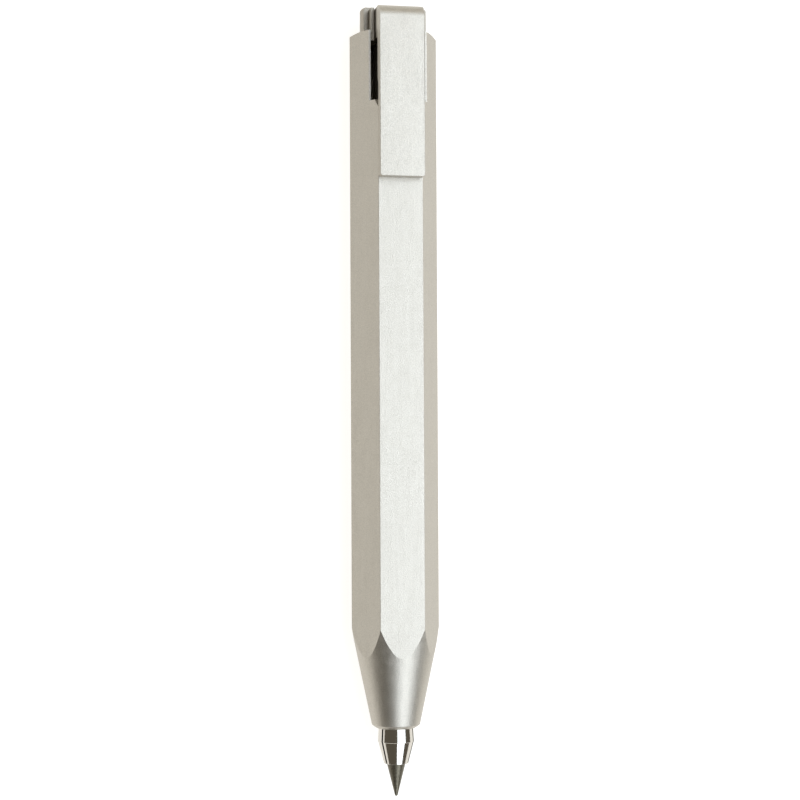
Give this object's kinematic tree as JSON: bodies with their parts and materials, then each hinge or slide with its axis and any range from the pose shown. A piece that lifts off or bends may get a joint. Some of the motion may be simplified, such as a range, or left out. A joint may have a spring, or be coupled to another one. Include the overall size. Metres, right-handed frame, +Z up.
{
  "type": "lead holder",
  "caption": "Hexagonal aluminium pocket lead holder with a push-button drop clutch, a slotted barrel and a clip carried by the button.",
  "frame": {"origin": "on the surface the holder lies on, under the middle of its length", "axes": "+Y along the barrel from the writing tip to the button, +Z up through the flat that carries the clip, X across"},
  "size_m": [0.0138, 0.123, 0.0137],
  "materials": {
    "matte_aluminium": "fine blasted and anodised, satin",
    "polished_nickel": "polished nickel plate",
    "spring_steel": "bright",
    "brass": "turned",
    "dark_sleeve": "matte",
    "graphite": "ground graphite, slightly shiny"
  },
  "bodies": {
    "barrel": {"barrel": "matte_aluminium", "closing_ring": "spring_steel", "spring_seat": "spring_steel", "guide_bush": "brass", "bush_ring": "spring_steel", "return_spring": "spring_steel"},
    "push_unit": {"button": "matte_aluminium", "button_screw": "spring_steel", "push_sleeve": "dark_sleeve", "lead_tube": "brass", "collet_sleeve": "polished_nickel", "thrust_washer": "spring_steel", "spring_collar": "brass", "collar_ring": "spring_steel", "stop_collar": "brass", "clip_pin": "spring_steel", "clip_spring": "spring_steel"},
    "clip": {"clip": "matte_aluminium"},
    "jaw_1": {"jaw_1": "polished_nickel"},
    "jaw_2": {"jaw_2": "polished_nickel"},
    "jaw_3": {"jaw_3": "polished_nickel"},
    "lead": {"lead": "graphite"}
  },
  "joints": [
    {"name": "button_slide", "type": "slide", "parent": "barrel", "child": "push_unit", "axis": [0, -1, 0], "range_m": [0, 0.003], "stiffness_N_per_m": 350, "springref_m": -0.006, "deforming": ["return_spring"]},
    {"name": "clip_pivot", "type": "hinge", "parent": "push_unit", "child": "clip", "pos_m": [0, 0.057, 0.0078], "axis": [-1, 0, 0], "range_deg": [0, 4], "stiffness_Nm_per_rad": 0.3, "springref_deg": -2.01, "deforming": ["clip_spring"]},
    {"name": "jaw_1_hinge", "type": "hinge", "parent": "push_unit", "child": "jaw_1", "pos_m": [0, -0.0395, 0.00795], "axis": [-1, 0, 0], "range_deg": [0, 1.75]},
    {"name": "jaw_2_hinge", "type": "hinge", "parent": "push_unit", "child": "jaw_2", "pos_m": [-0.00169, -0.0395, 0.00502], "axis": [0.5, 0, -0.866], "range_deg": [0, 1.75]},
    {"name": "jaw_3_hinge", "type": "hinge", "parent": "push_unit", "child": "jaw_3", "pos_m": [0.00169, -0.0395, 0.00502], "axis": [0.5, 0, 0.866], "range_deg": [0, 1.75]},
    {"name": "lead_slide", "type": "slide", "parent": "push_unit", "child": "lead", "axis": [0, -1, 0], "range_m": [-0.005, 0.025]}
  ],
  "couplings": [
    {"joint": "jaw_1_hinge", "follows": "button_slide", "rad_per_m": 9.9},
    {"joint": "jaw_2_hinge", "follows": "button_slide", "rad_per_m": 9.9},
    {"joint": "jaw_3_hinge", "follows": "button_slide", "rad_per_m": 9.9}
  ]
}
